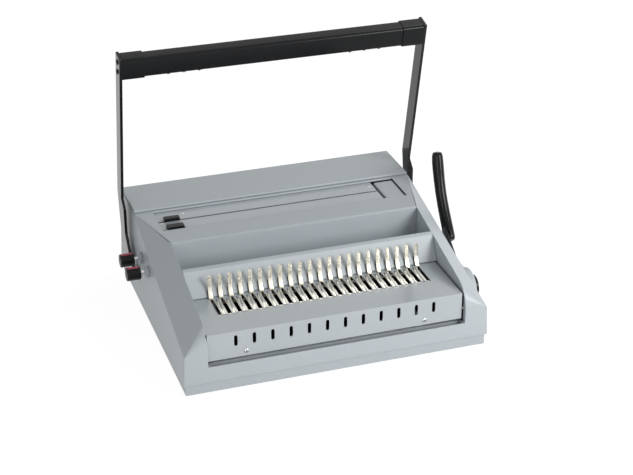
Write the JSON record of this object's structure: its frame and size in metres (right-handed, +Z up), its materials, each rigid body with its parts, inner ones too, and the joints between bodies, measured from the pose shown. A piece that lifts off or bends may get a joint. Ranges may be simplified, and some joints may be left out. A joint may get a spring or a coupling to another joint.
{
  "type": "comb and wire binding machine",
  "caption": "Desktop binding machine with a pull-over punching handle, paper throats, comb opening fingers, storage tray, side lever and chip drawer.",
  "frame": {"origin": "on the table, under the middle of the machine's footprint", "axes": "+X to the machine's right, +Y to its back, +Z up; the user stands on the -Y side"},
  "size_m": [0.489, 0.385, 0.3839],
  "materials": {
    "cover_plastic": "fine spark texture, silver grey",
    "painted_sheet": "satin silver-grey paint",
    "chromed_steel": "bright chrome plate",
    "bright_steel": "bright, lightly brushed",
    "black_plastic": "black, smooth with a soft gloss",
    "black_paint": "gloss black stoving paint",
    "zinc_steel": "zinc plated",
    "bush_brass": "turned",
    "foot_rubber": "matt black"
  },
  "bodies": {
    "machine": {"main_cover": "cover_plastic", "base_plinth": "cover_plastic", "rear_lid": "cover_plastic", "storage_tray": "cover_plastic", "lever_hub_cover": "cover_plastic", "paper_stop": "cover_plastic", "comb_panel": "painted_sheet", "throat_plate": "painted_sheet", "throat_back_plate": "painted_sheet", "ring_hook_plate": "chromed_steel", "panel_screw_left": "bright_steel", "panel_screw_right": "bright_steel", "side_frame_left": "zinc_steel", "side_frame_right": "zinc_steel", "comb_die": "zinc_steel", "wire_die": "zinc_steel", "comb_rail_left": "zinc_steel", "comb_rail_right": "zinc_steel", "drawer_runner_front": "zinc_steel", "drawer_runner_back": "zinc_steel", "lever_bush_left": "bush_brass", "lever_bush_right": "bush_brass", "punch_bush_left": "bush_brass", "punch_bush_right": "bush_brass", "foot_front_left": "foot_rubber", "foot_front_right": "foot_rubber", "foot_back_left": "foot_rubber", "foot_back_right": "foot_rubber"},
    "handle": {"handle_arm_left": "black_paint", "handle_arm_right": "black_paint", "crossbar": "black_plastic", "crossbar_cap_left": "black_plastic", "crossbar_cap_right": "black_plastic", "arm_screw_left_upper": "black_paint", "arm_screw_left_lower": "black_paint", "arm_screw_right_upper": "black_paint", "arm_screw_right_lower": "black_paint", "punch_shaft": "bright_steel", "punch_eccentric_left": "zinc_steel", "punch_eccentric_right": "zinc_steel"},
    "punch": {"punch_carriage": "zinc_steel", "comb_pin_bar": "bright_steel", "wire_pin_bar": "bright_steel"},
    "lever": {"lever_shaft": "bright_steel", "side_lever": "black_plastic", "lever_grip": "black_plastic", "pinion_left": "zinc_steel", "pinion_right": "zinc_steel", "closer_cam_left": "zinc_steel", "closer_cam_right": "zinc_steel"},
    "opener": {"comb_fingers": "chromed_steel", "rack_left": "zinc_steel", "rack_right": "zinc_steel"},
    "closer": {"wire_closing_jaw": "zinc_steel"},
    "front_stop": {"front_guide": "black_plastic", "front_guide_knob": "black_plastic"},
    "rear_stop": {"rear_guide": "black_plastic", "rear_guide_knob": "black_plastic"},
    "drawer": {"chip_drawer": "cover_plastic"}
  },
  "joints": [
    {"name": "handle_hinge", "type": "hinge", "parent": "machine", "child": "handle", "pos_m": [0, 0.0855, 0.06], "axis": [1, 0, 0], "range_deg": [0, 65]},
    {"name": "punch_slide", "type": "slide", "parent": "machine", "child": "punch", "axis": [0, -1, 0], "range_m": [0, 0.0056]},
    {"name": "lever_hinge", "type": "hinge", "parent": "machine", "child": "lever", "pos_m": [0, -0.1065, 0.048], "axis": [1, 0, 0], "range_deg": [0, 100]},
    {"name": "opener_slide", "type": "slide", "parent": "machine", "child": "opener", "axis": [0, -1, 0], "range_m": [0, 0.042]},
    {"name": "closer_slide", "type": "slide", "parent": "machine", "child": "closer", "axis": [0, -1, 0], "range_m": [0, 0.0046]},
    {"name": "front_guide_slide", "type": "slide", "parent": "machine", "child": "front_stop", "axis": [-1, 0, 0], "range_m": [0, 0.007]},
    {"name": "rear_guide_slide", "type": "slide", "parent": "machine", "child": "rear_stop", "axis": [-1, 0, 0], "range_m": [0, 0.007]},
    {"name": "drawer_slide", "type": "slide", "parent": "machine", "child": "drawer", "axis": [-1, 0, 0], "range_m": [0, 0.15]}
  ],
  "couplings": [
    {"joint": "punch_slide", "follows": "handle_hinge", "m_per_rad": 0.00485},
    {"joint": "opener_slide", "follows": "lever_hinge", "m_per_rad": 0.024},
    {"joint": "closer_slide", "follows": "lever_hinge", "m_per_rad": 0.00257}
  ]
}
